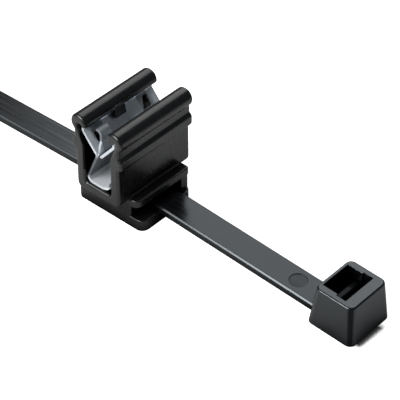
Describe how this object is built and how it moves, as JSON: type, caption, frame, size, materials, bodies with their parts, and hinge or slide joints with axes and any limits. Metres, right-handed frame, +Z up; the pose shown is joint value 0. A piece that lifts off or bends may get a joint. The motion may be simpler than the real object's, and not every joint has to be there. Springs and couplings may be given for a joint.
{
  "type": "cable tie mount",
  "caption": "Edge clip for a panel rim: moulded jaws with a folded grip spring stand on a plate, and a cable tie runs through a window under them.",
  "frame": {"origin": "middle of the plate's flat underside", "axes": "+X along the strap towards the tie's head, +Y along the jaws, +Z up out of the plate towards the rolls"},
  "size_m": [0.2, 0.0148, 0.0171],
  "materials": {
    "clip_housing": "black moulded nylon, satin",
    "grip_spring": "bright spring steel with rolled lustre",
    "cable_tie": "black moulded nylon, semi-gloss"
  },
  "bodies": {
    "root": {"clip_housing": "clip_housing", "grip_spring": "grip_spring", "cable_tie": "cable_tie"}
  },
  "joints": []
}
